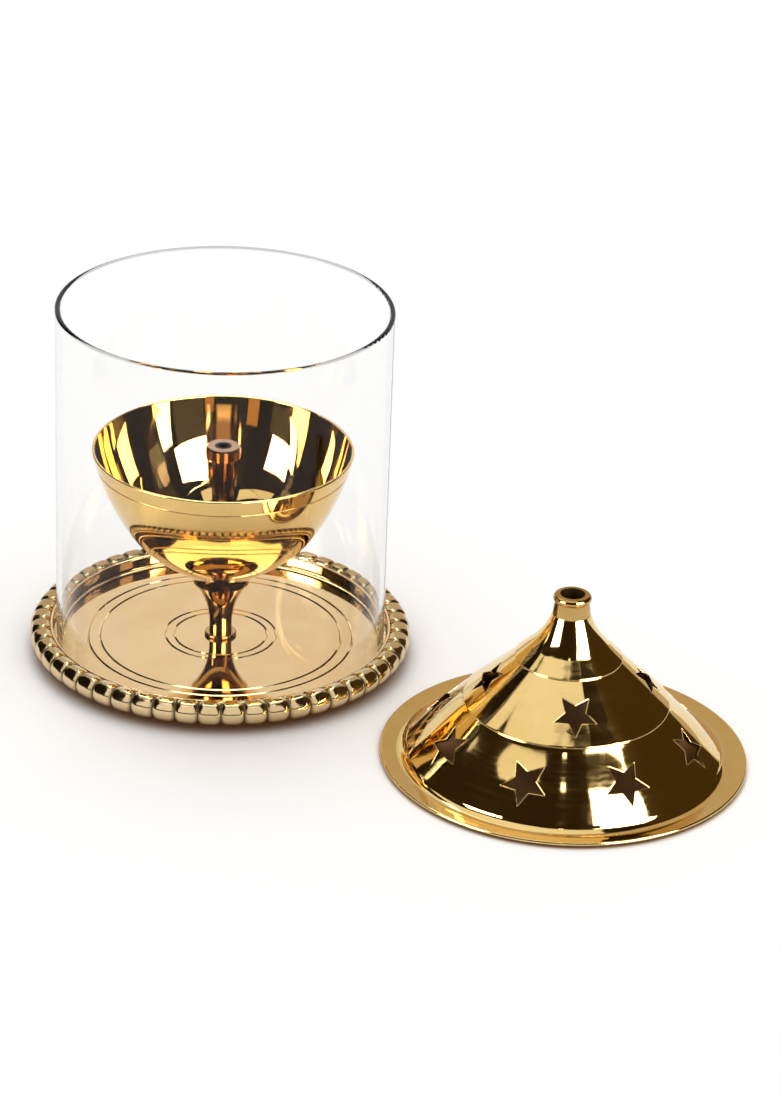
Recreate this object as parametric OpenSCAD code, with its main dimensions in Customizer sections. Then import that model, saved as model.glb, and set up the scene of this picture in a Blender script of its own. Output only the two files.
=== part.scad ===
// Akhand diya: a brass oil lamp on a dish, with a glass chimney and a pierced lid
// that stands beside it. The origin is on the table, on the lamp's axis, with +Z up.

/* [Glass chimney] */
// Outside diameter of the glass
glass_od = 100; // [90:0.5:112]
// Thickness of the glass wall
glass_wall = 1.6; // [1.2:0.1:2.4]
// Length of the glass
glass_h = 107.5; // [85:0.5:130]

/* [Base dish] */
// Height of the foot ring under the dish
foot_h = 2.2; // [1.9:0.1:4]
// Outer radius of the foot ring
foot_r = 46; // [38:0.5:49]
// Width of the foot ring
foot_w = 3; // [2:0.5:6]
// Thickness of the dish's floor
floor_t = 1.8; // [1.4:0.1:3]
// Gap all round between the glass and the dish's wall
glass_gap = 1; // [0.5:0.1:2]
// Thickness of the dish's wall
dish_wall = 1; // [0.8:0.1:2]
// Height of the dish's wall above its floor
dish_wall_h = 4.2; // [3:0.1:4.4]
// Radius of the fillet between the dish's floor and its wall
dish_fillet = 0.8; // [0.3:0.1:0.9]
// Radius of the outer engraved ring, outermost of its pair
outer_ring_r = 40.4; // [30:0.1:44]
// Distance between the two outer rings
outer_ring_step = 3.6; // [2:0.1:6]
// Radius of the inner engraved ring, outermost of its pair
inner_ring_r = 16.9; // [13:0.1:24]
// Distance between the two inner rings
inner_ring_step = 2.75; // [2:0.05:4]
// Depth of an engraved ring
ring_depth = 0.3; // [0.1:0.05:0.5]
// Width of an engraved ring
ring_w = 0.8; // [0.4:0.1:1.2]

/* [Gadroon rim] */
// Radius of the rim's round section
rim_section_r = 3.6; // [3:0.1:4.5]
// Distance from the dish's wall to the centre of the rim's section
rim_reach = 2.4; // [1.6:0.1:2.8]
// Height of the rim's section centre above the dish's floor
rim_rise = 1.6; // [0.8:0.1:2]
// Number of gadroons round the rim
gadroon_n = 52; // [36:1:60]
// Depth of the notch between two gadroons
notch_depth = 0.8; // [0.4:0.05:1.2]
// Share of the pitch that a notch takes
notch_share = 0.24; // [0.1:0.01:0.4]

/* [Stem] */
// Height of the stem from the dish's floor to the bowl
stem_h = 18.2; // [14:0.1:26]
// Radius of the stem at its waist
stem_waist_r = 3.45; // [3:0.05:5]
// Radius of the stem's top, where the bowl sits
stem_top_r = 8.6; // [7:0.1:11]
// Height above the floor at which the stem starts to flare
stem_flare_z = 4.2; // [2.6:0.1:6]
// Radius of the flange at the stem's foot
flange_r = 4.9; // [4.2:0.1:7]
// Thickness of that flange
flange_t = 1.2; // [0.8:0.1:2]

/* [Screw joints] */
// Radius of the screw under the dish
screw_r = 2; // [1.5:0.1:2.2]
// Length of the screw inside the stem
screw_grip = 6; // [4:0.5:7.5]
// Radius of the screw's head
screw_head_r = 3.6; // [3.2:0.1:5]
// Height of the screw's head
screw_head_h = 1.1; // [0.8:0.1:1.2]
// Width of the slot in the screw's head
slot_w = 0.9; // [0.6:0.1:1.2]
// Depth of that slot
slot_depth = 0.6; // [0.3:0.1:0.7]
// Outer radius of the washer under the dish
washer_r = 5; // [4.2:0.1:7]
// Thickness of the washer
washer_t = 0.6; // [0.4:0.1:0.7]
// Radius of the stud under the bowl
stud_r = 2.5; // [2:0.1:2.8]
// Length of that stud
stud_len = 6; // [4:0.5:7]
// Gap all round a screw or stud in its hole
hole_gap = 0.05; // [0.02:0.01:0.1]
// Depth left free beyond the end of a screw or stud
end_gap = 0.5; // [0.2:0.1:1]

/* [Bowl] */
// Thickness of the bowl's wall
bowl_wall = 0.9; // [0.8:0.1:2]
// Height of the turned pad under the bowl
pad_h = 1.9; // [1:0.1:3]
// Length of the straight cone above the pad
cone_len = 13.5; // [9:0.5:18]
// Slope of that cone, from the upright
cone_a = 54.6; // [48:0.2:60]
// Radius of the belly's curve above the cone
belly_r = 36.5; // [28:0.5:45]
// Slope where the belly meets the side, from the upright
belly_a = 32.2; // [28:0.2:40]
// Radius of the side's curve below the lip
side_r = 76.6; // [60:0.5:95]
// Slope of the side at the lip, from the upright
lip_a = 12.9; // [6:0.1:20]
// Depth of metal over the pad inside the bowl
well_t = 3.8; // [3:0.1:5]
// Distance of the turned line from the lip, as an angle on the side's curve
line_a = 3.4; // [2:0.1:6]
// Depth of the turned line
line_depth = 0.25; // [0.1:0.05:0.4]

/* [Wick holder] */
// Diameter of the hole that takes the wick
wick_d = 3.5; // [2.5:0.1:5]
// Outside diameter of the wick tube
tube_od = 6.4; // [5.8:0.1:8]
// Wall of the wick tube
tube_wall = 0.7; // [0.4:0.05:0.8]
// Outside diameter of the collar on the tube
collar_od = 10.5; // [9:0.1:14]
// Height of the collar
collar_h = 4; // [3:0.1:6]
// Metal over the end of the tube inside the collar
collar_cap = 1.2; // [0.8:0.1:2]
// Height of the collar's top above the bowl's lip
collar_rise = 0.5; // [0:0.1:4]
// Thickness of the foot in the bowl's well
foot_disc_h = 3; // [2.4:0.1:5]
// Depth of the tube's socket in the foot
socket_depth = 1.6; // [1:0.1:1.8]
// Number of oil holes through the foot
oil_hole_n = 4; // [3:1:6]
// Radius of an oil hole through the foot
oil_hole_r = 1.3; // [0.8:0.1:1.5]
// Height of the oil ports in the tube above the foot
oil_port_z = 3; // [2.5:0.1:8]
// Radius of an oil port in the tube
oil_port_r = 1.2; // [0.6:0.1:1.5]
// Gap between the foot's slanted side and the bowl
seat_gap = 0.3; // [0.2:0.05:0.6]

/* [Lid] */
// Thickness of the lid's sheet
lid_t = 1.1; // [0.8:0.1:1.6]
// Distance from the inside of the glass in to the foot of the lid's cone
lid_foot_in = 2.8; // [1.5:0.1:4]
// Height of that foot above the lid's rest
lid_foot_h = 2.8; // [2:0.1:4]
// Radius of the cove between the brim and that foot
cove_r = 3.5; // [3:0.1:5]
// Reach of the lid's brim beyond the outside of the glass
brim_over = 3.45; // [1.5:0.05:6]
// Rise of the brim's edge above the lid's rest
brim_rise = 0.7; // [0.3:0.1:1.5]
// Slope of the lower tier, from the upright
low_a = 43.9; // [40:0.1:48]
// Slope of the middle tier, from the upright
mid_a = 45.8; // [42:0.1:50]
// Slope of the upper tier, from the upright
top_a = 46; // [42:0.1:50]
// Radius of the edge between the lower and middle tiers
low_step_r = 30; // [27:0.1:33]
// Radius of the edge between the middle and upper tiers
top_step_r = 15.6; // [14:0.1:18]
// How far a tier's edge stands proud of the tier below
step_out = 0.5; // [0.2:0.05:0.7]
// Radius of the flare below the neck
flare_r = 22.5; // [16:0.5:26]
// Slope of the flare where it meets the neck, from the upright
flare_top_a = 17; // [10:0.5:22]
// Distance between the lid and the dish's rim as they stand
lid_apart = 9.2; // [4:0.1:40]
// Direction from the lamp to the lid, from +X towards +Y
lid_bearing = -31; // [-60:1:-10]

/* [Lid neck] */
// Radius of the neck at its foot
neck_r = 5.5; // [5:0.1:7]
// Radius of the neck's waist
waist_r = 5.05; // [4.6:0.05:6.5]
// Height of the neck above the flare
neck_h = 6.05; // [4:0.05:8]
// Radius of the lip at the neck's top
lip_r = 5.55; // [5.2:0.05:7.5]
// Height of that lip
lip_h = 2.4; // [1.4:0.1:3]
// Radius of the vent through the neck
vent_r = 3.6; // [2.8:0.1:3.8]
// Length of the neck's spigot inside the lid
spigot_len = 3; // [1.5:0.1:4]
// Gap all round the spigot
spigot_gap = 0.05; // [0.02:0.01:0.1]

/* [Pierced stars] */
// Radius of a lower star's points
low_star_r = 7; // [4:0.1:8]
// Radius of a middle star's points
mid_star_r = 6.4; // [4:0.1:7.5]
// Radius of a star's inner corners as a share of its points' radius
star_in = 0.46; // [0.38:0.01:0.6]
// Number of stars round the lower tier
low_star_n = 8; // [5:1:8]
// Direction of the first lower star, from the front
low_star_first = -19; // [-45:1:45]
// Number of stars round the middle tier
mid_star_n = 4; // [3:1:5]
// Direction of the first middle star, from the front
mid_star_first = 4; // [-45:1:45]
// Place of the lower stars up their tier, from its foot to its top
low_star_up = 0.49; // [0.42:0.01:0.6]
// Place of the middle stars up their tier, from its foot to its top
mid_star_up = 0.48; // [0.42:0.01:0.6]
// Turn of a star on its own centre, 36 with a point straight down
star_turn = 34; // [0:1:72]

/* [Hidden] */
$fn = 96;

brass = "#c9a24e";
cast_brass = "#b98f42";
dark_brass = "#8f6d33";
steel = "#a9adb0";
clear_glass = "#dfe8ea";

// Cutters pass this far beyond the faces that they open
past = 1;

// Dish and rim
glass_r = glass_od / 2;
floor_z = foot_h + floor_t;
dish_in_r = glass_r + glass_gap;
dish_out_r = dish_in_r + dish_wall;
rim_centre_r = dish_out_r + rim_reach;
rim_centre_z = floor_z + rim_rise;
rim_out_r = rim_centre_r + rim_section_r;
ring_radii = [outer_ring_r, outer_ring_r - outer_ring_step, inner_ring_r, inner_ring_r - inner_ring_step];

// Stem
stem_top_z = floor_z + stem_h;
flare_z = floor_z + stem_flare_z;
flare_dz = stem_top_z - flare_z;
flare_dr = stem_top_r - stem_waist_r;
stem_flare_r = (flare_dz * flare_dz + flare_dr * flare_dr) / (2 * flare_dr);

// Bowl: a pad, a cone, the belly's arc and the side's arc, each tangent to the next
function out(a) = [cos(a), -sin(a)];
cone_foot = [stem_top_r, stem_top_z + pad_h];
cone_top = cone_foot + cone_len * [sin(cone_a), cos(cone_a)];
belly_c = cone_top - belly_r * out(cone_a);
belly_top = belly_c + belly_r * out(belly_a);
side_c = belly_top - side_r * out(belly_a);
lip_at = side_c + (side_r - bowl_wall / 2) * out(lip_a);
lip_z = lip_at[1] + bowl_wall / 2;
well_z = stem_top_z + well_t;
// Inside of the cone: the cone's own line moved in by the wall
well_line = cone_foot - bowl_wall * out(cone_a);
function well_r(z) = well_line[0] + (z - well_line[1]) * tan(cone_a);

// Wick holder
tube_r = tube_od / 2;
tube_bore_r = tube_r - tube_wall;
collar_top_z = lip_z + collar_rise;
tube_top_z = collar_top_z - collar_cap;
tube_foot_z = well_z + foot_disc_h - socket_depth;
foot_low_r = well_r(well_z) - seat_gap / cos(cone_a);
foot_high_r = well_r(well_z + foot_disc_h) - seat_gap / cos(cone_a);
oil_hole_at = (tube_r + foot_low_r) / 2;

// Lid: a cove up from the brim, three tiers and a flare up to the neck
brim_r = glass_r + brim_over;
function face(a) = [cos(a), sin(a)];
low_foot = [glass_r - glass_wall - lid_foot_in, lid_foot_h];
cove_rise = lid_foot_h - lid_t;
cove_foot_r = low_foot[0] + sqrt(cove_rise * (2 * cove_r - cove_rise));
low_top = [low_step_r, low_foot[1] + (low_foot[0] - low_step_r) / tan(low_a)] - step_out * face(low_a);
mid_foot = low_top + step_out * face(low_a);
mid_top = [top_step_r, mid_foot[1] + (mid_foot[0] - top_step_r) / tan(mid_a)] - step_out * face(mid_a);
top_foot = mid_top + step_out * face(mid_a);
flare_foot_r = neck_r + flare_r * (cos(flare_top_a) - cos(top_a));
top_end = [flare_foot_r, top_foot[1] + (top_foot[0] - flare_foot_r) / tan(top_a)];
flare_c = top_end + flare_r * face(top_a);
neck_drop = flare_r * sin(flare_top_a);
neck_z = flare_c[1] - neck_drop;
neck_in_r = flare_c[0] - sqrt(pow(flare_r + lid_t, 2) - neck_drop * neck_drop);
lid_at = (rim_out_r + lid_apart + brim_r) * [cos(lid_bearing), sin(lid_bearing)];
brim_edge_r = lid_t / 2;
low_star_at = low_foot + low_star_up * (low_top - low_foot);
mid_star_at = mid_foot + mid_star_up * (mid_top - mid_foot);
star_cut_h = 6 * lid_t;

// Half of the bowl's curved body, filled, moved in from its outside by inset and cut at slope top_a
module bowl_fill(inset, top_a) {
    far = 2 * side_r;
    intersection() {
        translate(belly_c) circle(belly_r - inset);
        translate([0, cone_foot[1]]) square([far, belly_c[1] - cone_foot[1]]);
    }
    intersection() {
        translate(side_c) circle(side_r - inset);
        translate([0, belly_c[1] - belly_r]) square(far);
        polygon([side_c, side_c + far * out(belly_a), side_c + far * out(top_a)]);
    }
}

// A ring with a V section, to cut a line of the given depth and width into a flat floor
module floor_ring_cut(r, z) {
    translate([0, 0, z]) rotate_extrude()
        polygon([[r - ring_w / 2, 0], [r, -ring_depth], [r + ring_w / 2, 0], [r, past]]);
}

// A five-pointed star with its points at radius r
module star(r) {
    rotate(star_turn) polygon([for (k = [0 : 9]) (k % 2 == 0 ? r : r * star_in) * [sin(36 * k), cos(36 * k)]]);
}

// Cutters for a ring of stars of radius r, square to the lid's face at the place at, whose slope is a
module star_cuts(n, first, at, a, r) {
    for (k = [0 : n - 1])
        rotate(first - 90 + k * 360 / n) translate([at[0], 0, at[1]]) rotate([0, 90 - a, 0]) rotate(90)
            linear_extrude(star_cut_h, center = true) star(r);
}

// Dish: a turned floor with two pairs of engraved rings, an upright wall and a foot ring
module base_plate() {
    color(brass) difference() {
        rotate_extrude() {
            translate([0, foot_h]) square([dish_out_r, floor_t]);
            translate([dish_in_r, foot_h]) square([dish_wall, floor_t + dish_wall_h - dish_wall / 2]);
            translate([dish_in_r + dish_wall / 2, floor_z + dish_wall_h - dish_wall / 2]) circle(dish_wall / 2);
            translate([foot_r - foot_w, 0]) square([foot_w, foot_h]);
            difference() {
                translate([dish_in_r - dish_fillet, floor_z]) square(dish_fillet);
                translate([dish_in_r - dish_fillet, floor_z + dish_fillet]) circle(dish_fillet);
            }
        }
        for (r = ring_radii) floor_ring_cut(r, floor_z);
        cylinder(h = floor_z + past, r = screw_r + hole_gap);
    }
}

// Section of the rim with the given radius, flat where it meets the dish's wall
module rim_section(r) {
    intersection() {
        translate([rim_centre_r, rim_centre_z]) circle(r);
        translate([dish_out_r, 0]) square([rim_out_r, 2 * rim_centre_z]);
    }
}

// Rim: a cast ring round the dish, with gadroons that stand proud of its core
module gadroon_rim() {
    pitch = 360 / gadroon_n;
    span = pitch * (1 - notch_share);
    color(cast_brass) {
        rotate_extrude() rim_section(rim_section_r - notch_depth);
        for (k = [0 : gadroon_n - 1])
            rotate(k * pitch - span / 2) rotate_extrude(angle = span) rim_section(rim_section_r);
    }
}

// Screw up through the dish into the stem, with a slotted head
module base_screw() {
    head_z = foot_h - washer_t - screw_head_h;
    color(steel) difference() {
        union() {
            translate([0, 0, head_z]) cylinder(h = screw_head_h, r = screw_head_r);
            translate([0, 0, head_z]) cylinder(h = floor_z + screw_grip - head_z, r = screw_r);
        }
        translate([-screw_head_r - past, -slot_w / 2, head_z - past])
            cube([2 * (screw_head_r + past), slot_w, slot_depth + past]);
    }
}

// Washer between the screw's head and the dish
module base_washer() {
    color(steel) translate([0, 0, foot_h - washer_t]) difference() {
        cylinder(h = washer_t, r = washer_r);
        translate([0, 0, -past]) cylinder(h = washer_t + 2 * past, r = screw_r + hole_gap);
    }
}

// Stem: a foot flange, a slim waist and a trumpet flare up to the bowl
module stem() {
    color(brass) difference() {
        rotate_extrude() {
            difference() {
                translate([0, floor_z]) square([stem_top_r, stem_h]);
                translate([stem_waist_r, floor_z]) square([stem_top_r, stem_flare_z]);
                translate([stem_waist_r + stem_flare_r, flare_z]) circle(stem_flare_r);
            }
            translate([0, floor_z]) square([flange_r - flange_t / 2, flange_t]);
            translate([flange_r - flange_t / 2, floor_z + flange_t / 2]) circle(flange_t / 2);
        }
        translate([0, 0, floor_z - past]) cylinder(h = screw_grip + end_gap + past, r = screw_r + hole_gap);
        translate([0, 0, stem_top_z - stud_len - end_gap])
            cylinder(h = stud_len + end_gap + past, r = stud_r + hole_gap);
    }
}

// Bowl: a thin deep cup with a rolled lip, on a pad and a stud that goes into the stem
module bowl() {
    line_at = side_c + side_r * out(lip_a + line_a);
    cone_in = cone_top - bowl_wall * out(cone_a);
    color(brass) rotate_extrude() {
        difference() {
            union() {
                polygon([[0, stem_top_z], [stem_top_r, stem_top_z], cone_foot, cone_top, [0, cone_top[1]]]);
                bowl_fill(0, lip_a);
            }
            polygon([[0, well_z], [well_r(well_z), well_z], cone_in, [0, cone_in[1]]]);
            intersection() {
                bowl_fill(bowl_wall, lip_a - 60);
                translate([0, cone_in[1] - past / 10]) square(2 * side_r);
            }
            translate(line_at) circle(line_depth);
        }
        translate(lip_at) circle(bowl_wall / 2);
        translate([0, stem_top_z - stud_len]) square([stud_r, stud_len + well_t / 2]);
    }
}

// Foot of the wick holder: a slanted disc that centres itself in the bowl's well
module wick_foot() {
    color(dark_brass) difference() {
        translate([0, 0, well_z]) cylinder(h = foot_disc_h, r1 = foot_low_r, r2 = foot_high_r);
        translate([0, 0, tube_foot_z]) cylinder(h = socket_depth + past, r = tube_r + hole_gap);
        for (k = [0 : oil_hole_n - 1])
            rotate(k * 360 / oil_hole_n) translate([oil_hole_at, 0, well_z - past])
                cylinder(h = foot_disc_h + 2 * past, r = oil_hole_r);
    }
}

// Wick tube, open at both ends, with a pair of cross-drilled oil ports near its foot
module wick_tube() {
    color(brass) difference() {
        translate([0, 0, tube_foot_z]) cylinder(h = tube_top_z - tube_foot_z, r = tube_r);
        translate([0, 0, tube_foot_z - past]) cylinder(h = tube_top_z - tube_foot_z + 2 * past, r = tube_bore_r);
        translate([0, 0, well_z + foot_disc_h + oil_port_z]) rotate([0, 90, 0])
            cylinder(h = 2 * tube_od, r = oil_port_r, center = true);
    }
}

// Collar that caps the tube and holds the wick in its hole
module wick_collar() {
    edge = collar_h / 8;
    low_z = collar_top_z - collar_h;
    color(brass) difference() {
        rotate_extrude() polygon([[0, low_z], [collar_od / 2 - edge, low_z], [collar_od / 2, low_z + edge],
                                  [collar_od / 2, collar_top_z - edge],
                                  [collar_od / 2 - edge, collar_top_z], [0, collar_top_z]]);
        translate([0, 0, low_z - past]) cylinder(h = tube_top_z - low_z + past, r = tube_r + hole_gap);
        translate([0, 0, low_z]) cylinder(h = collar_h + past, r = wick_d / 2);
    }
}

// Glass: a plain tube with a ground foot and a fire-polished top edge
module glass_chimney() {
    color(clear_glass, 0.35) rotate_extrude() {
        translate([glass_r - glass_wall, floor_z]) square([glass_wall, glass_h - glass_wall / 2]);
        translate([glass_r - glass_wall / 2, floor_z + glass_h - glass_wall / 2]) circle(glass_wall / 2);
    }
}

// Point at height z on the line from the flare's foot towards the flare's centre
function to_flare(foot, z) = foot + (z - foot[1]) / sin(top_a) * face(top_a);

// Half of the lid's outside, filled, up to the neck
module lid_outside() {
    difference() {
        polygon([[0, 0], [cove_foot_r, 0], [cove_foot_r, lid_t], low_foot, low_top, mid_foot, mid_top, top_foot,
                 top_end, to_flare(top_end, neck_z), [0, neck_z]]);
        translate([cove_foot_r, lid_t + cove_r]) circle(cove_r);
        translate(flare_c) circle(flare_r);
    }
}

// Half of the hollow under the lid: the tiers' lines moved in by the sheet, down past the rest
module lid_inside() {
    low_in = low_foot - lid_t * face(low_a);
    flare_foot = top_end - lid_t * face(top_a);
    difference() {
        polygon([[0, -past], [low_in[0] + (low_in[1] + past) * tan(low_a), -past], low_top - lid_t * face(low_a),
                 mid_top - lid_t * face(mid_a), flare_foot, to_flare(flare_foot, neck_z + past),
                 [0, neck_z + past]]);
        translate(flare_c) circle(flare_r + lid_t);
    }
}

// Lid: a spun cone in three tiers with pierced stars and a brim that rests on the glass
module lid_cone() {
    color(brass) translate(lid_at) difference() {
        rotate_extrude() {
            difference() {
                lid_outside();
                lid_inside();
            }
            lid_brim();
        }
        star_cuts(low_star_n, low_star_first, low_star_at, low_a, low_star_r);
        star_cuts(mid_star_n, mid_star_first, mid_star_at, mid_a, mid_star_r);
    }
}

// Section of the brim, outside the cove: a gentle rise to a round edge
module lid_brim() {
    edge_at = [brim_r - brim_edge_r, brim_rise + brim_edge_r];
    polygon([[cove_foot_r, 0], edge_at - [0, brim_edge_r], edge_at + [0, brim_edge_r], [cove_foot_r, lid_t]]);
    translate(edge_at) circle(brim_edge_r);
}

// Neck: a turned vent with a waist and a rounded lip, its spigot brazed into the top of the lid
module lid_neck() {
    spigot_r = neck_in_r - spigot_gap;
    top_z = neck_z + neck_h;
    color(brass) translate(lid_at) difference() {
        rotate_extrude() {
            translate([0, neck_z - spigot_len]) square([spigot_r, spigot_len + neck_h / 2]);
            polygon([[0, neck_z], [neck_r, neck_z], [waist_r, top_z - lip_h], [waist_r, top_z - lip_h / 2],
                     [0, top_z - lip_h / 2]]);
            translate([0, top_z - lip_h]) square([lip_r - lip_h / 2, lip_h]);
            translate([lip_r - lip_h / 2, top_z - lip_h / 2]) circle(lip_h / 2);
        }
        translate([0, 0, neck_z - spigot_len - past])
            cylinder(h = spigot_len + neck_h + 2 * past, r = vent_r);
    }
}

base_plate();
gadroon_rim();
base_screw();
base_washer();
stem();
bowl();
wick_foot();
wick_tube();
wick_collar();
glass_chimney();
lid_cone();
lid_neck();
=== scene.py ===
import math
import bpy
from mathutils import Matrix, Vector


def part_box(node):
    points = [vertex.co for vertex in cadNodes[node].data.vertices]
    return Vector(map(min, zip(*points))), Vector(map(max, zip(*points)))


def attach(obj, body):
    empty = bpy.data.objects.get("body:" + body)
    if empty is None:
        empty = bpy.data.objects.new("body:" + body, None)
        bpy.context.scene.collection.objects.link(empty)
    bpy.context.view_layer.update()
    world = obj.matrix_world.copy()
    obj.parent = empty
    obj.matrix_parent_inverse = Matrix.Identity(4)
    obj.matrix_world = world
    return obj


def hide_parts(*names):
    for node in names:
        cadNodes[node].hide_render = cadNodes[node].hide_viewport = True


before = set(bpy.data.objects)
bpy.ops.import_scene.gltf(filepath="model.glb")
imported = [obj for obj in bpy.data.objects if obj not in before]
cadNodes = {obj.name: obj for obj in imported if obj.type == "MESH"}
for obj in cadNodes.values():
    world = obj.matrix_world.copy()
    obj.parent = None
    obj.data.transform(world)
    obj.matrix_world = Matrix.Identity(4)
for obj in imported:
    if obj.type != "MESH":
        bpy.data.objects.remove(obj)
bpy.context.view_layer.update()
scene = bpy.context.scene
scene.view_settings.view_transform = "Standard"
print("frame loaded:", len(cadNodes), "nodes")

mmPerMetre = 1000.0
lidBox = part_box("lid_cone")
lidAxis = ((lidBox[0].x + lidBox[1].x) / 2, (lidBox[0].y + lidBox[1].y) / 2)
lampAxis = (0.0, 0.0)

# camera, at the photograph's angle
cameraSet = {
    "place": (0.05093, -0.99533, 0.51481),
    "pitchDown": 25.83,  # degrees
    "roll": 2.17,
    "focalPixels": 3654.31,
    "frameHigh": 1108,  # pixels
    "sensor": 36.0,
}


def aimCamera(s):
    pitch = math.radians(s["pitchDown"])
    roll = math.radians(s["roll"])
    level = Vector((1, 0, 0))
    rise = Vector((0, math.sin(pitch), math.cos(pitch)))
    right = math.cos(roll) * level + math.sin(roll) * rise
    up = math.cos(roll) * rise - math.sin(roll) * level
    back = right.cross(up)
    data = bpy.data.cameras.new("camera")
    data.sensor_width = s["sensor"]
    data.lens = s["sensor"] * s["focalPixels"] / s["frameHigh"]
    eye = bpy.data.objects.new("camera", data)
    turn = Matrix((right, up, back)).transposed().to_4x4()
    eye.matrix_world = Matrix.Translation(s["place"]) @ turn
    scene.collection.objects.link(eye)
    scene.camera = eye


aimCamera(cameraSet)
print("camera set")


# small helpers for node trees
def freshTree(name):
    material = bpy.data.materials.new(name)
    material.use_nodes = True
    tree = material.node_tree
    tree.nodes.clear()
    out = tree.nodes.new("ShaderNodeOutputMaterial")
    return material, tree, out


# i0, i1 and so on give a socket by its number, other words by its label
def node(tree, kind, settings=None, **values):
    made = tree.nodes.new("ShaderNode" + kind)
    for key, value in (settings or {}).items():
        setattr(made, key, value)
    for key, value in values.items():
        numbered = key[0] == "i" and key[1:].isdigit()
        socket = made.inputs[int(key[1:])] if numbered else made.inputs[key]
        if isinstance(value, bpy.types.NodeSocket):
            tree.links.new(value, socket)
        else:
            socket.default_value = value
    return made


def math2(tree, operation, a, b=0.0):
    return node(tree, "Math", {"operation": operation}, i0=a, i1=b).outputs[0]


# a smooth step between two values
def ramp(tree, value, low, high, toLow=0.0, toHigh=1.0):
    made = node(tree, "MapRange", {"interpolation_type": "SMOOTHSTEP"}, Value=value)
    made.inputs["From Min"].default_value = low
    made.inputs["From Max"].default_value = high
    made.inputs["To Min"].default_value = toLow
    made.inputs["To Max"].default_value = toHigh
    return made.outputs[0]


# the node's colours are its sockets 6 and 7, and its mixed colour is its output 2
def mixColour(tree, share, first, second):
    return node(tree, "Mix", {"data_type": "RGBA"}, i0=share, i6=first, i7=second).outputs[2]


# place from a turned piece's own axis, distance from that axis, and height, in millimetres
def turnedPlace(tree, axis):
    place = node(tree, "TexCoord").outputs["Object"]
    foot = (axis[0], axis[1], 0.0)
    shifted = node(tree, "VectorMath", {"operation": "SUBTRACT"}, i0=place, i1=foot).outputs[0]
    scaled = node(tree, "VectorMath", {"operation": "SCALE"}, i0=shifted, Scale=mmPerMetre).outputs[0]
    parts = node(tree, "SeparateXYZ", i0=scaled)
    flat = node(tree, "CombineXYZ", i0=parts.outputs[0], i1=parts.outputs[1]).outputs[0]
    radius = node(tree, "VectorMath", {"operation": "LENGTH"}, i0=flat).outputs["Value"]
    return scaled, radius, parts.outputs[2]


# how far a face looks in towards the piece's own axis, 0 to 1
def facingIn(tree, place, span):
    flat = node(tree, "VectorMath", {"operation": "MULTIPLY"}, i0=place, i1=(1, 1, 0)).outputs[0]
    outward = node(tree, "VectorMath", {"operation": "NORMALIZE"}, i0=flat).outputs[0]
    normal = node(tree, "TexCoord").outputs["Normal"]
    dot = node(tree, "VectorMath", {"operation": "DOT_PRODUCT"}, i0=outward, i1=normal).outputs["Value"]
    return ramp(tree, dot, *span, 1.0, 0.0)


# the slight waves that spinning leaves in the lower tier
def spunWaves(tree, radius, waves, normal):
    height = 0.0
    for outer, inner, rise in waves:
        height = math2(tree, "ADD", ramp(tree, radius, inner, outer, rise, 0.0), height)
    wave = node(tree, "Bump", Height=height, Strength=1.0, Distance=1 / mmPerMetre, Normal=normal)
    return wave.outputs[0]


# soft patches all over a piece, "cloud" or "smear"
def patches(tree, place, s, kind):
    made = node(tree, "TexNoise", Vector=place, Scale=s[kind + "Scale"])
    made.inputs["Detail"].default_value = s[kind + "Detail"]
    made.inputs["Roughness"].default_value = s[kind + "Rough"]
    return made.outputs[0]


# lines that turning leaves, each of them round the piece's axis
def turnedLines(tree, radius, height, s):
    along = math2(tree, "ADD", math2(tree, "MULTIPLY", radius, s["linesTilt"]), height)
    made = node(tree, "TexNoise", {"noise_dimensions": "1D"}, W=along, Scale=s["linesPerMm"])
    made.inputs["Detail"].default_value = s["linesDetail"]
    return made.outputs[0]


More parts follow.
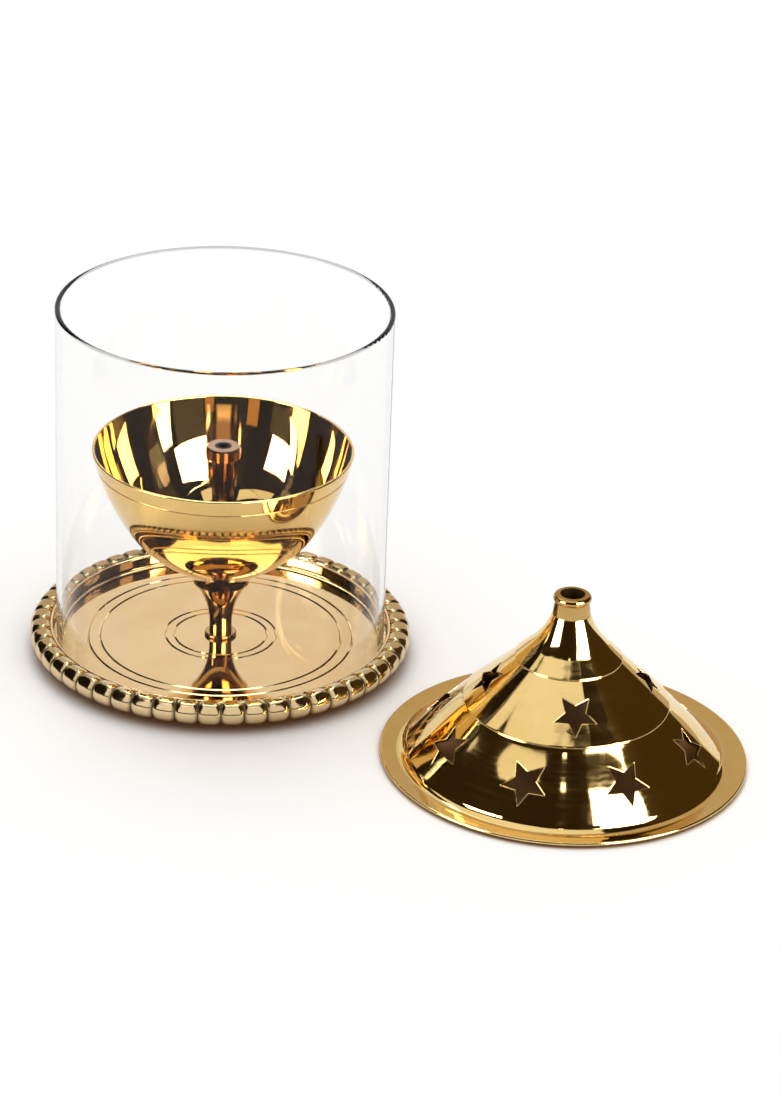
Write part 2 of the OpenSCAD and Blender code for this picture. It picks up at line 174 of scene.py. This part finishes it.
def brassFinish(name, s, groove=False, sootyAndShaded=False):
    material, tree, out = freshTree(name)
    place, radius, height = turnedPlace(tree, s["axis"])
    lines = turnedLines(tree, radius, height, s)
    cloud = patches(tree, place, s, "cloud")
    smear = patches(tree, place, s, "smear")
    tone = mixColour(tree, ramp(tree, cloud, *s["cloudSpan"]), s["tone"], s["toneWarm"])
    tarnished = ramp(tree, smear, *s["tarnishSpan"], 0.0, s["tarnishShare"])
    tone = mixColour(tree, tarnished, tone, s["tarnish"])
    rough = math2(tree, "ADD", ramp(tree, lines, *s["linesSpan"], 0.0, s["roughLines"]),
                  ramp(tree, smear, *s["smearSpan"], s["rough"], s["rough"] + s["roughSmear"]))
    if groove:  # dirt that polishing leaves in the grooves
        deep = node(tree, "Attribute", {"attribute_name": "groove"}).outputs["Fac"]
        tone = mixColour(tree, deep, tone, s["grime"])
        rough = math2(tree, "ADD", rough, math2(tree, "MULTIPLY", deep, s["roughGroove"]))
    if sootyAndShaded:  # the inside is never polished and flame darkens it; its dark tone is also painted shade, where little light gets in
        inner = facingIn(tree, place, s["innerSpan"])
        sootAndShade = mixColour(tree, ramp(tree, cloud, *s["sootSpan"]), s["sootAndShade"], s["sootAndShadeWarm"])
        tone = mixColour(tree, inner, tone, sootAndShade)
        rough = math2(tree, "ADD", rough, math2(tree, "MULTIPLY", inner, s["roughSoot"]))
    bump = node(tree, "Bump", Height=lines, Strength=s["bump"], Distance=s["bumpDepth"])
    if s["waves"]:  # polishing has also softened the edges
        softEdge = node(tree, "Bevel", {"samples": s["edgeSamples"]}, Radius=s["edgeRound"]).outputs[0]
        tree.links.new(spunWaves(tree, radius, s["waves"], softEdge), bump.inputs["Normal"])
    if s["mouthSootShadeR"]:  # soot round the wick's mouth, and painted shade in its opening
        mouthSootShade = ramp(tree, radius, s["mouthSootShadeR"], s["mouthSootShadeR"] + s["mouthSootShadeFade"], 1.0, 0.0)
        tone = mixColour(tree, mouthSootShade, tone, s["sootAndShade"])
    metal = node(tree, "BsdfPrincipled")
    metal.inputs["Metallic"].default_value = 1.0
    tree.links.new(tone, metal.inputs["Base Color"])
    tree.links.new(rough, metal.inputs["Roughness"])
    tree.links.new(bump.outputs[0], metal.inputs["Normal"])
    tree.links.new(metal.outputs[0], out.inputs[0])
    return material


# a span is where a pattern starts to show, and where it shows in full
brassSet = {
    "axis": lampAxis,
    "tone": (0.82, 0.60, 0.25, 1),
    "toneWarm": (0.77, 0.53, 0.20, 1),
    "cloudScale": 0.045,  # per millimetre
    "cloudDetail": 4.0,
    "cloudRough": 0.6,
    "cloudSpan": (0.35, 0.68),
    "smearScale": 0.16,
    "smearDetail": 6.0,
    "smearRough": 0.7,
    "smearSpan": (0.4, 0.8),
    "tarnish": (0.50, 0.31, 0.12, 1),
    "tarnishShare": 0.25,
    "tarnishSpan": (0.58, 0.8),
    "linesPerMm": 5.0,
    "linesTilt": 0.83,  # a step outwards counts as this much height
    "linesDetail": 3.0,
    "linesSpan": (0.3, 0.75),
    "grime": (0.05, 0.028, 0.010, 1),
    # soot that is also painted shade, inside the lid and at the wick's mouth
    "sootAndShade": (0.030, 0.016, 0.006, 1),
    "sootAndShadeWarm": (0.085, 0.045, 0.016, 1),
    "sootSpan": (0.3, 0.7),
    "innerSpan": (-0.45, -0.25),
    "rough": 0.035,
    "roughLines": 0.03,
    "roughSmear": 0.04,
    "roughGroove": 0.3,
    "roughSoot": 0.4,
    "bump": 0.04,
    "bumpDepth": 0.00002,
    "waves": [],  # outer radius, inner radius and rise of each, in millimetres
    "edgeRound": 0.0004,
    "edgeSamples": 6,
    "mouthSootShadeR": 0.0,  # millimetres
    "mouthSootShadeFade": 0.35,
}
bowlSet = dict(brassSet, tone=(0.80, 0.54, 0.20, 1), toneWarm=(0.75, 0.49, 0.17, 1),
               rough=0.02, roughLines=0.012, roughSmear=0.018)
# the stem's darker tone is painted shade, for the dark that it mirrors under the bowl
stemSet = dict(brassSet, tone=(0.54, 0.33, 0.12, 1), toneWarm=(0.45, 0.26, 0.09, 1))
plateSet = dict(brassSet, tone=(0.79, 0.56, 0.29, 1), toneWarm=(0.75, 0.51, 0.25, 1))
lidSet = dict(brassSet, axis=lidAxis,
              waves=[(45.6, 38.6, 0.17), (38.6, 30.6, -0.19), (30.6, 29.6, 0.04)])
# the neck's darker tone is painted shade
neckSet = dict(brassSet, axis=lidAxis, tone=(0.56, 0.37, 0.13, 1), toneWarm=(0.50, 0.31, 0.10, 1),
               rough=0.08)
# the collar and tube get soot and painted shade round the wick's opening
collarSet = dict(brassSet, tone=(0.56, 0.35, 0.22, 1), toneWarm=(0.46, 0.26, 0.15, 1),
                 tarnish=(0.16, 0.08, 0.04, 1), tarnishShare=0.6, rough=0.10, mouthSootShadeR=2.4)
tubeSet = dict(collarSet, tone=(0.31, 0.18, 0.095, 1), toneWarm=(0.25, 0.14, 0.07, 1))
footSet = dict(brassSet, rough=0.10, tarnishShare=0.5, smearScale=0.4)
gadroonSet = dict(footSet, tone=(0.74, 0.57, 0.32, 1), toneWarm=(0.64, 0.47, 0.25, 1),
                  rough=0.12, roughSmear=0.06)
screwSet = dict(brassSet, tone=(0.62, 0.63, 0.64, 1), toneWarm=(0.55, 0.55, 0.55, 1),
                tarnish=(0.30, 0.27, 0.24, 1), rough=0.2)
bowlBrass = brassFinish("polishedBrass", bowlSet)
stemBrass = brassFinish("stemShadeBrass", stemSet)
plateBrass = brassFinish("platedBrass", plateSet)
# the lid's and neck's insides carry soot and painted shade
lidBrass = brassFinish("spunBrass", lidSet, sootyAndShaded=True)
neckBrass = brassFinish("turnedBrass", neckSet, sootyAndShaded=True)
collarBrass = brassFinish("burntBrass", collarSet)
tubeBrass = brassFinish("sootedBrass", tubeSet)
footBrass = brassFinish("castBrass", footSet)
rimBrass = brassFinish("gadroonBrass", gadroonSet, groove=True)
screwSteel = brassFinish("screwSteel", screwSet)

glassSet = {
    "ior": 1.2,
    "rough": 0.0,
    "tint": (0.995, 0.995, 0.99, 1),
    "lip": (0.36, 0.36, 0.35, 1),  # painted shade: the lip is greyer than the wall, for the dark line along the top edge
    "lipSpan": (0.9, 0.2),  # millimetres below the top
    "waveScale": 0.02,
    "waveDetail": 2.0,
    "waveBump": 0.02,
    "waveDepth": 0.0005,
    "smoke": (0.62, 0.60, 0.58, 1),
    "density": 22.0,
}


def glassFinish(s):
    material, tree, out = freshTree("clearGlass")
    place, _, height = turnedPlace(tree, lampAxis)
    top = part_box("glass_chimney")[1].z * mmPerMetre
    # painted shade along the glass's top edge
    lip = ramp(tree, height, *[top - below for below in s["lipSpan"]])
    uneven = node(tree, "TexNoise", Vector=place, Scale=s["waveScale"], Detail=s["waveDetail"])
    wave = node(tree, "Bump", Height=uneven.outputs[0], Strength=s["waveBump"], Distance=s["waveDepth"])
    glass = node(tree, "BsdfPrincipled")
    glass.inputs["Roughness"].default_value = s["rough"]
    glass.inputs["IOR"].default_value = s["ior"]
    glass.inputs["Transmission Weight"].default_value = 1.0
    tree.links.new(mixColour(tree, lip, s["tint"], s["lip"]), glass.inputs["Base Color"])
    tree.links.new(wave.outputs[0], glass.inputs["Normal"])
    tree.links.new(glass.outputs[0], out.inputs[0])
    smoke = node(tree, "VolumeAbsorption", Color=s["smoke"], Density=s["density"])
    tree.links.new(smoke.outputs[0], out.inputs["Volume"])
    return material


clearGlass = glassFinish(glassSet)

finishes = {
    "base_plate": plateBrass,
    "gadroon_rim": rimBrass,
    "base_screw": screwSteel,
    "base_washer": screwSteel,
    "stem": stemBrass,
    "bowl": bowlBrass,
    "wick_foot": footBrass,
    "wick_tube": tubeBrass,
    "wick_collar": collarBrass,
    "glass_chimney": clearGlass,
    "lid_cone": lidBrass,
    "lid_neck": neckBrass,
}
for name, finish in finishes.items():
    cadNodes[name].data.materials.clear()
    cadNodes[name].data.materials.append(finish)
chimney = cadNodes["glass_chimney"]
chimney.visible_shadow = False  # clear glass casts no shadow of its own
chimney.visible_diffuse = False
print("finishes on", len(finishes), "nodes")

# the cast rim, with rounded gadroons
rimSet = {
    "count": 52,
    "centreR": 0.0544,
    "centreZ": 0.0056,
    "section": 0.0036,
    "wallR": 0.0520,
    "depth": 0.0009,
    "swell": 4.2,
    "grimeEdge": 9,
    "perLobe": 20,
    "around": 30,
}


def makeRim(s):
    points, faces, deep = [], [], []
    ends = math.acos((s["wallR"] - s["centreR"]) / s["section"])
    steps = s["count"] * s["perLobe"]
    ring = s["around"] + 1
    for k in range(steps):
        u = 2 * (k % s["perLobe"]) / s["perLobe"] - 1  # -1 to 1 over one gadroon
        turn = 2 * math.pi * (k / s["perLobe"] + 0.5) / s["count"]
        notch = abs(u) ** s["swell"]
        for j in range(ring):
            tilt = ends * (2 * j / s["around"] - 1)
            reach = s["section"] - s["depth"] * notch
            r = max(s["centreR"] + reach * math.cos(tilt), s["wallR"])
            z = s["centreZ"] + reach * math.sin(tilt)
            points.append((r * math.cos(turn), r * math.sin(turn), z))
            deep.append(abs(u) ** s["grimeEdge"])
    for k in range(steps):
        a, b = k * ring, ((k + 1) % steps) * ring
        for j in range(ring):
            i = (j + 1) % ring
            faces.append((a + j, b + j, b + i, a + i))
    mesh = bpy.data.meshes.new("gadroonRim")
    mesh.from_pydata(points, [], faces)
    mesh.attributes.new("groove", "FLOAT", "POINT").data.foreach_set("value", deep)
    mesh.polygons.foreach_set("use_smooth", [True] * len(faces))
    mesh.materials.append(rimBrass)
    rim = bpy.data.objects.new("gadroonRim", mesh)
    scene.collection.objects.link(rim)
    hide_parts("gadroon_rim")
    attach(rim, "lamp")
    return rim


gadroonRim = makeRim(rimSet)
print("rim made:", rimSet["count"], "gadroons")

# stage: floor, world, dark room and cards
floorSet = {
    "half": 6.0,
    "tone": (0.93, 0.93, 0.93, 1),
    "shade": (0.34, 0.195, 0.115, 1),  # dark under the pieces
    "shadeSpan": (0.0, 0.85),
    "deep": (0.66, 0.27, 0.05, 1),  # painted warm shade under the lid, for light bounced between brass walls
    "deepSpan": (0.0, 0.1),
    "reach": 0.09,
    "samples": 8,
}


def makeFloor(s):
    mesh = bpy.data.meshes.new("floor")
    half = s["half"]
    corners = [(-half, -half, 0), (half, -half, 0), (half, half, 0), (-half, half, 0)]
    mesh.from_pydata(corners, [], [(0, 1, 2, 3)])
    floor = bpy.data.objects.new("floor", mesh)
    scene.collection.objects.link(floor)
    material, tree, out = freshTree("paleFloor")
    # painted shadow: the floor darkens where the pieces close it in, and turns warm under the lid
    clear = node(tree, "AmbientOcclusion", {"samples": s["samples"]}, Distance=s["reach"]).outputs["AO"]
    tone = mixColour(tree, ramp(tree, clear, *s["shadeSpan"]), s["shade"], s["tone"])
    tone = mixColour(tree, ramp(tree, clear, *s["deepSpan"]), s["deep"], tone)
    matt = node(tree, "BsdfDiffuse", Color=tone)
    tree.links.new(matt.outputs[0], out.inputs[0])
    mesh.materials.append(material)


makeFloor(floorSet)

worldSet = {
    "tone": (1, 1, 1, 1),
    "white": 1.0,  # as the camera, metal and glass see it
    "fill": 0.88,  # as it lights the floor
}


# 1 for rays from the camera, metal and glass
def seenRays(tree):
    path = node(tree, "LightPath")
    seen = math2(tree, "MAXIMUM", path.outputs["Is Camera Ray"], path.outputs["Is Glossy Ray"])
    return math2(tree, "MAXIMUM", seen, path.outputs["Is Transmission Ray"])


def makeWorld(s):
    world = bpy.data.worlds.new("studio")
    world.use_nodes = True
    tree = world.node_tree
    tree.nodes.clear()
    out = tree.nodes.new("ShaderNodeOutputWorld")
    strength = node(tree, "MapRange", Value=seenRays(tree))
    strength.inputs["To Min"].default_value = s["fill"]
    strength.inputs["To Max"].default_value = s["white"]
    back = node(tree, "Background", Color=s["tone"], Strength=strength.outputs[0])
    tree.links.new(back.outputs[0], out.inputs[0])
    scene.world = world


makeWorld(worldSet)


def glowFinish(name, colour, strength=1.0, clear=True):
    material, tree, out = freshTree(name)
    shown = node(tree, "Emission", Color=(*colour, 1), Strength=strength).outputs[0]
    if clear:  # a card that another piece isn't lit by stays see-through to it
        through = node(tree, "BsdfTransparent").outputs[0]
        shown = node(tree, "AddShader", i0=shown, i1=through).outputs[0]
    tree.links.new(shown, out.inputs[0])
    return material


def group(name, members):
    made = bpy.data.collections.new(name)
    for member in members:
        made.objects.link(member)
    return made


lidGroup = group("lidPieces", [cadNodes["lid_cone"], cadNodes["lid_neck"]])
lampGroup = group("lampPieces", [o for n, o in cadNodes.items() if not n.startswith("lid_")])
rimGroup = group("rimPieces", [gadroonRim])


# a card that only reflections and glass see
def addCard(name, points, faces, finish, lit=None):
    mesh = bpy.data.meshes.new(name)
    mesh.from_pydata(points, [], faces)
    mesh.materials.append(finish)
    card = bpy.data.objects.new(name, mesh)
    scene.collection.objects.link(card)
    card.visible_camera = False
    card.visible_diffuse = False
    card.visible_shadow = False
    if lit:
        card.light_linking.receiver_collection = lit


# bearing clockwise from the back, and height, in degrees
def heading(az, el):
    a, e = math.radians(az), math.radians(el)
    return Vector((math.sin(a) * math.cos(e), math.cos(a) * math.cos(e), math.sin(e)))


# the corners of a patch with upright sides
def upright(az0, az1, el0, el1):
    return [(az0, el0), (az1, el0), (az1, el1), (az0, el1)]


# a patch of a sphere between four headings
def skyCard(name, centre, reach, corners, finish, lit=None, steps=8):
    (az0, el0), (az1, el1), (az2, el2), (az3, el3) = corners
    points, faces = [], []
    for j in range(steps + 1):
        v = j / steps
        for i in range(steps + 1):
            u = i / steps
            az = (az0 * (1 - u) + az1 * u) * (1 - v) + (az3 * (1 - u) + az2 * u) * v
            el = (el0 * (1 - u) + el1 * u) * (1 - v) + (el3 * (1 - u) + el2 * u) * v
            points.append(Vector(centre) + reach * heading(az, el))
    for j in range(steps):
        for i in range(steps):
            k = j * (steps + 1) + i
            faces.append((k, k + 1, k + steps + 2, k + steps + 1))
    addCard(name, points, faces, finish, lit)


# a level panel overhead, its outline in shares of its height above the middle
def levelCard(name, centre, high, outline, finish, lit):
    points = [(centre[0] + high * x, centre[1] + high * y, centre[2] + high) for x, y in outline]
    addCard(name, points, [tuple(range(len(points)))], finish, lit)


stageSet = {
    "lampMidZ": 0.05,
    "lidMidZ": 0.025,
    "roomReach": 3.0,
    "roomSteps": 24,
    "cardReach": 1.6,
    "rimReach": 1.7,
    "panelHigh": 0.9,
    "backWall": (-38, 38),  # bearings
    "rightWall": (38, 108),
    "frontWall": (108, 322),
    "allRound": (0, 360),
    "wallRise": (-1, 60),  # from just under the floor
    "paleRise": (-1, 52),  # the pale part of the back wall
    "roofRise": (58, 90),
}
lampMid = (*lampAxis, stageSet["lampMidZ"])
lidMid = (*lidAxis, stageSet["lidMidZ"])

# colour and strength
glows = {
    "window": ((1.0, 0.99, 0.96), 14.0),
    "strip": ((1.0, 0.98, 0.9), 6.0),
    "tan": ((0.62, 0.54, 0.42), 1.0),
    "panel": ((1.0, 0.99, 0.96), 1.05),
    "roof": ((0.85, 1.0, 1.0), 4.0),
    "back": ((1.0, 1.0, 1.0), 1.0),
    "lidBack": ((0.57, 0.48, 0.36), 1.0),
    "blush": ((1.0, 0.86, 0.84), 0.8),
    "amber": ((0.75, 0.38, 0.12), 0.8),
    "olive": ((0.085, 0.078, 0.042), 1.0),
    "umber": ((0.016, 0.010, 0.003), 1.0),
}
glow = {name: glowFinish(name + "Glow", *look) for name, look in glows.items()}

# a dark room all round
rooms = {
    "roomBack": ((0.030, 0.018, 0.008), "backWall", "wallRise"),
    "roomRight": ((0.064, 0.039, 0.011), "rightWall", "wallRise"),
    "roomFront": ((0.014, 0.008, 0.004), "frontWall", "wallRise"),
    "roomTop": ((0.024, 0.014, 0.006), "allRound", "roofRise"),
}
for name, (tone, bearings, rise) in rooms.items():
    corners = upright(*stageSet[bearings], *stageSet[rise])
    finish = glowFinish(name, tone, clear=False)
    skyCard(name, lampMid, stageSet["roomReach"], corners, finish, steps=stageSet["roomSteps"])

# what the bowl, dish and glass mirror
lampCards = {
    "lampBack": ("back", upright(*stageSet["backWall"], *stageSet["paleRise"])),
    "windowRight": ("window", [(125, 20), (160, 20), (160, 39), (124, 36)]),
    "windowLeft": ("window", [(226, 14), (248, 14), (255, 25), (226, 29)]),
    "stripRight": ("strip", [(112, 0), (128, 0), (124, 18), (113, 18)]),
    "stripLeft": ("strip", [(239, 3), (247, 3), (261, 20), (252, 20)]),
    "panelLeft": ("panel", [(203, 48), (252, 35), (253, 42), (205, 59)]),
    "panelRight": ("panel", [(142, 49), (160, 47), (160, 60), (140, 60)]),
    "blushRight": ("blush", [(98, 21), (110, 21), (109, 29), (99, 28)]),
    "amberLeft": ("amber", upright(199, 209, 1, 14)),
    "amberRight": ("amber", upright(160, 168, 1, 10)),
    "oliveLeft": ("olive", upright(222, 242, 3, 14)),
    "oliveRight": ("olive", upright(130, 158, 2, 19)),
}
for name, (look, corners) in lampCards.items():
    skyCard(name, lampMid, stageSet["cardReach"], corners, glow[look], lampGroup)
roofOutline = [
    (0.0, -0.345), (0.195, -0.34), (0.35, -0.27), (0.43, -0.16), (0.52, 0.02), (0.60, 0.19),
    (0.58, 0.34), (0.46, 0.52), (0.30, 0.75), (0.15, 0.95), (-0.10, 0.80), (-0.45, 0.60),
    (-0.58, 0.34), (-0.53, 0.04), (-0.49, -0.13), (-0.35, -0.27), (-0.195, -0.34),
]
levelCard("lampRoof", lampMid, stageSet["panelHigh"], roofOutline, glow["roof"], lampGroup)

# what the rim mirrors
rimCards = {
    "rimFront": ("panel", upright(130, 230, 8, 72)),
    "rimBack": ("tan", upright(*stageSet["backWall"], *stageSet["paleRise"])),
}
for name, (look, corners) in rimCards.items():
    skyCard(name, lampMid, stageSet["rimReach"], corners, glow[look], rimGroup)
rimOutline = [(-0.5, -0.4), (0.35, -0.4), (0.35, 0.8), (-0.5, 0.8)]
levelCard("rimTop", lampMid, stageSet["panelHigh"], rimOutline, glow["panel"], rimGroup)

# what the lid mirrors
lidCards = {
    "lidBack": ("lidBack", upright(*stageSet["backWall"], *stageSet["wallRise"])),
    "lidFront": ("umber", upright(*stageSet["frontWall"], *stageSet["wallRise"])),
    "lidLeft": ("window", [(226, 6), (258, 6), (256, 38), (228, 42)]),
    "lidRight": ("window", [(110, 6), (157, 6), (150, 57.5), (107, 49.5)]),
    "lidSlit": ("strip", upright(178, 183, 59.5, 61.5)),
}
for name, (look, corners) in lidCards.items():
    skyCard(name, lidMid, stageSet["cardReach"], corners, glow[look], lidGroup)
lidOutline = [
    (-1.45, 0.80), (-1.38, 0.42), (-1.12, 0.15), (-0.96, 0.03), (-0.80, -0.30), (-0.54, -0.44),
    (-0.29, -0.52), (-0.17, -0.475), (0.0, -0.49), (0.37, -0.43), (0.27, -0.10), (0.20, 0.40),
    (-0.60, 0.95),
]
levelCard("lidPanel", lidMid, stageSet["panelHigh"], lidOutline, glow["panel"], lidGroup)
print("stage built")

# one soft light for the floor and its shadow, which metal and glass don't show
keySet = {
    "place": (-0.45, 3.0, 4.2),
    "aim": (0.04, -0.02, 0.03),
    "size": 3.0,
    "power": 80.0,
}


def makeKey(s):
    data = bpy.data.lights.new("key", "AREA")
    data.shape = "SQUARE"
    data.size = s["size"]
    data.energy = s["power"]
    key = bpy.data.objects.new("key", data)
    key.location = s["place"]
    key.rotation_euler = (Vector(s["aim"]) - key.location).to_track_quat("-Z", "Y").to_euler()
    key.visible_glossy = False
    key.visible_transmission = False
    key.visible_camera = False
    scene.collection.objects.link(key)


makeKey(keySet)
print("light set")
